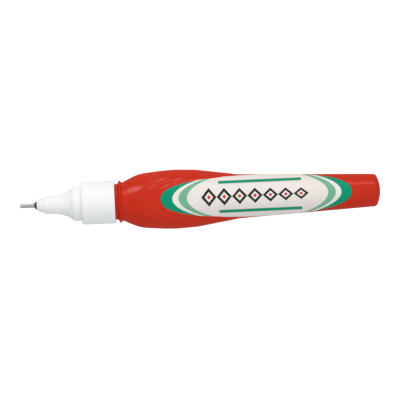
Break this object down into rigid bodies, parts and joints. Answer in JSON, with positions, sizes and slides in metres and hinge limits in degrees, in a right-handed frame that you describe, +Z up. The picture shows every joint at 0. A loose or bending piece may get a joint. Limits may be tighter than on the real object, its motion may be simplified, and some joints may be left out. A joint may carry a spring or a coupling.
{
  "type": "correction pen",
  "caption": "Squeeze-bottle correction pen with a ridged oval bulb, tapered barrel, push-fit collar, flared nozzle and a steel needle tip closed by a sprung valve pin.",
  "frame": {"origin": "on the desk under the middle of the pen's length, with the pen lying label up on the flat under its oval bulb", "axes": "+X along the pen's axis from the needle to the closed end, +Y across the pen, +Z up through the label"},
  "size_m": [0.1344, 0.022, 0.0172],
  "materials": {
    "bottle_plastic": "smooth red blow-moulded polyethylene with a soft gloss",
    "label_film": "thin printed film, off-white with green bands",
    "collar_plastic": "white moulded polypropylene, soft gloss",
    "nozzle_plastic": "white moulded polypropylene, soft gloss",
    "gasket_rubber": "soft white elastomer",
    "tip_steel": "turned stainless steel",
    "pin_steel": "ground stainless wire",
    "stem_plastic": "natural acetal",
    "spring_steel": "drawn stainless spring wire",
    "retainer_plastic": "natural polypropylene",
    "ball_steel": "polished steel ball"
  },
  "bodies": {
    "pen": {"bottle": "bottle_plastic", "label": "label_film", "collar": "collar_plastic", "nozzle": "nozzle_plastic", "gasket": "gasket_rubber", "metal_tip": "tip_steel", "valve_spring": "spring_steel", "spring_retainer": "retainer_plastic"},
    "valve": {"valve_pin": "pin_steel", "valve_stem": "stem_plastic"},
    "ball": {"mixing_ball": "ball_steel"}
  },
  "joints": [
    {"name": "valve_press", "type": "slide", "parent": "pen", "child": "valve", "axis": [1, 0, 0], "range_m": [0, 0.0008], "stiffness_N_per_m": 1200, "springref_m": -0.0005, "deforming": ["valve_spring"]},
    {"name": "ball_travel", "type": "slide", "parent": "pen", "child": "ball", "axis": [1, 0, 0], "range_m": [-0.0927, 0]}
  ]
}
